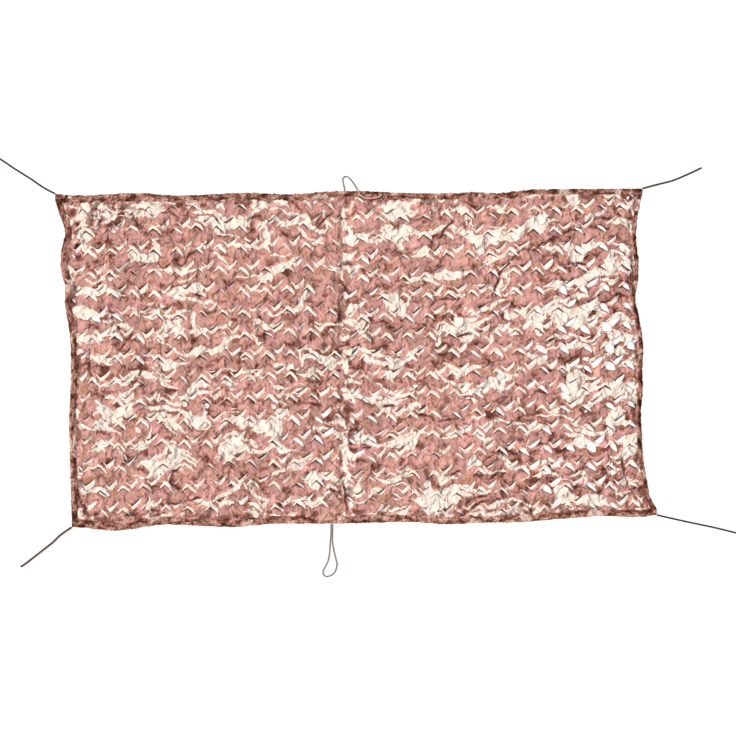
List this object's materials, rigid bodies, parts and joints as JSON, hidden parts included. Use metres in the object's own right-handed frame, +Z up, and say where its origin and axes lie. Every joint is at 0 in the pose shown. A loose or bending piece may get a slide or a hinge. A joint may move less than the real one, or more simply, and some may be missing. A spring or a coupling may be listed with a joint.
{
  "type": "camouflage netting",
  "caption": "Rectangular slit-cloth camouflage net lying flat, two panels lapped and sewn, bound edges, a cord tie at each corner and a cord loop on each long side.",
  "frame": {"origin": "middle of the bound net's box, on the ground it lies on; the cords are left out", "axes": "+X along the net's long sides, +Y across it towards the side whose loop lies back over the binding, +Z up from the ground"},
  "size_m": [3.8386, 2.1688, 0.0209],
  "materials": {
    "cloth": "woven polyester, matt with a faint sheen, brown printed with cream",
    "binding": "the same cloth, darker, folded over the edge and stitched",
    "cord": "braided polyester cord, matt, heat-sealed ends"
  },
  "bodies": {
    "root": {"panel_left": "cloth", "panel_right": "cloth", "binding_top": "binding", "binding_bottom": "binding", "binding_left": "binding", "binding_right": "binding", "tie_top_left": "cord", "tie_top_right": "cord", "tie_bottom_left": "cord", "tie_bottom_right": "cord", "loop_top": "cord", "loop_bottom": "cord"}
  },
  "joints": []
}
